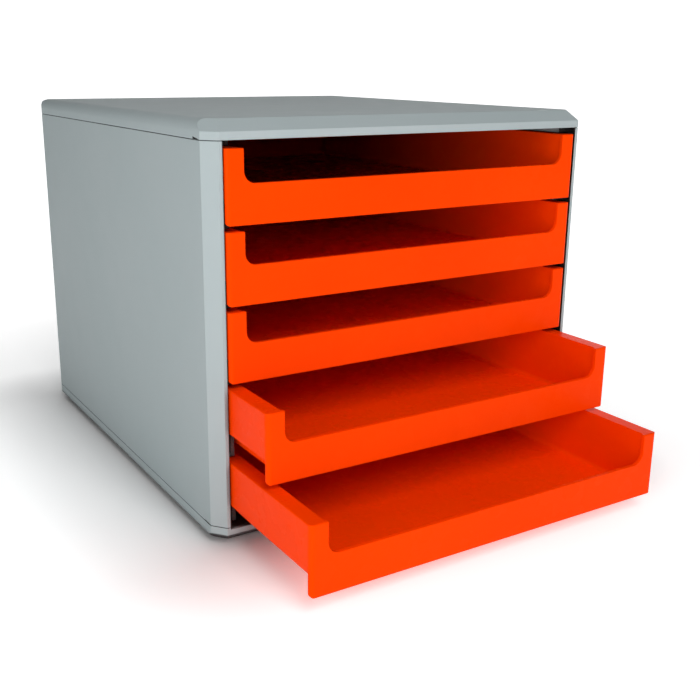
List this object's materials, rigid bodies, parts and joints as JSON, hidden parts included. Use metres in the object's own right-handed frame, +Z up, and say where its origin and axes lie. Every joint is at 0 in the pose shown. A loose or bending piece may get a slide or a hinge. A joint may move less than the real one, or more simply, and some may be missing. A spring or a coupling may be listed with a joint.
{
  "type": "file box with drawers",
  "caption": "Desktop file box in light grey plastic with a stack of open-front orange sliding drawers for A4 paper.",
  "frame": {"origin": "centre of the casing's footprint at desk level", "axes": "+Z up, the drawers open towards -Y, +X is to the right when the drawers face the viewer"},
  "size_m": [0.275, 0.4112, 0.2485],
  "materials": {
    "casing_plastic": "satin",
    "drawer_plastic": "gloss",
    "foot_rubber": "matte"
  },
  "bodies": {
    "casing": {"top_panel": "casing_plastic", "bottom_panel": "casing_plastic", "left_side_panel": "casing_plastic", "right_side_panel": "casing_plastic", "back_panel": "casing_plastic", "foot_front_left": "foot_rubber", "foot_front_right": "foot_rubber", "foot_back_left": "foot_rubber", "foot_back_right": "foot_rubber"},
    "drawer_body_1": {"drawer_1": "drawer_plastic"},
    "drawer_body_2": {"drawer_2": "drawer_plastic"},
    "drawer_body_3": {"drawer_3": "drawer_plastic"},
    "drawer_body_4": {"drawer_4": "drawer_plastic"},
    "drawer_body_5": {"drawer_5": "drawer_plastic"}
  },
  "joints": [
    {"name": "drawer_1_slide", "type": "slide", "parent": "casing", "child": "drawer_body_1", "axis": [0, -1, 0], "range_m": [0, 0.22]},
    {"name": "drawer_2_slide", "type": "slide", "parent": "casing", "child": "drawer_body_2", "axis": [0, -1, 0], "range_m": [0, 0.22]},
    {"name": "drawer_3_slide", "type": "slide", "parent": "casing", "child": "drawer_body_3", "axis": [0, -1, 0], "range_m": [0, 0.22]},
    {"name": "drawer_4_slide", "type": "slide", "parent": "casing", "child": "drawer_body_4", "axis": [0, -1, 0], "range_m": [-0.044, 0.176]},
    {"name": "drawer_5_slide", "type": "slide", "parent": "casing", "child": "drawer_body_5", "axis": [0, -1, 0], "range_m": [-0.09, 0.13]}
  ]
}
